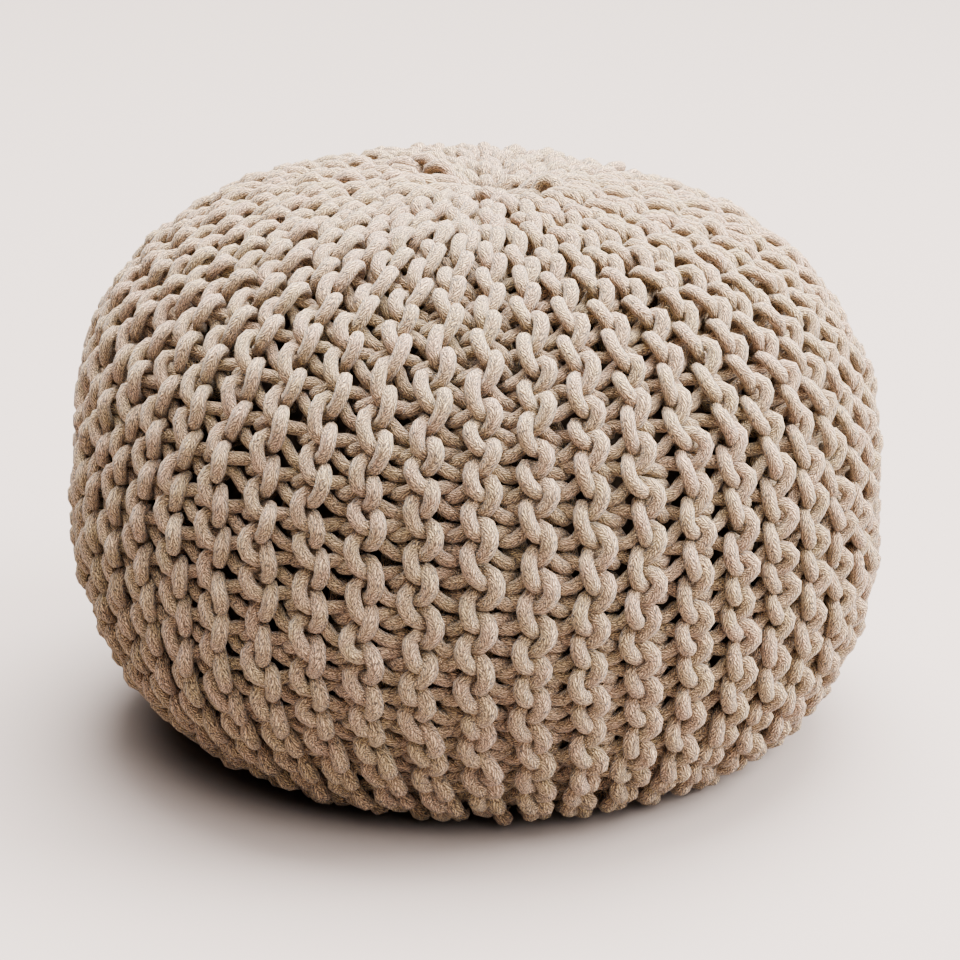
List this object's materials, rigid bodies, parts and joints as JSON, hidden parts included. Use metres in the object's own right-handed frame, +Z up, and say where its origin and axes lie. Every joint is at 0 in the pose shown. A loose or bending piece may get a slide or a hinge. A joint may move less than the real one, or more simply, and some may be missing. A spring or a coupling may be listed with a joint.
{
  "type": "round knitted pouf",
  "caption": "Round filled floor pouf with a chunky knitted cotton cord cover, ribbed from a gather on top to a flat base; used as a low seat or footrest.",
  "frame": {"origin": "centre of the pouf's box, on the surface that its flat base rests on", "axes": "+Z up through the gather on top; -Y towards the picture's camera; +X to the right in the picture, the way the soft body leans"},
  "size_m": [0.4998, 0.5, 0.3501],
  "materials": {
    "cotton_cord": "matte braided taupe cotton cord"
  },
  "bodies": {
    "root": {"knitted_pouf": "cotton_cord"}
  },
  "joints": []
}
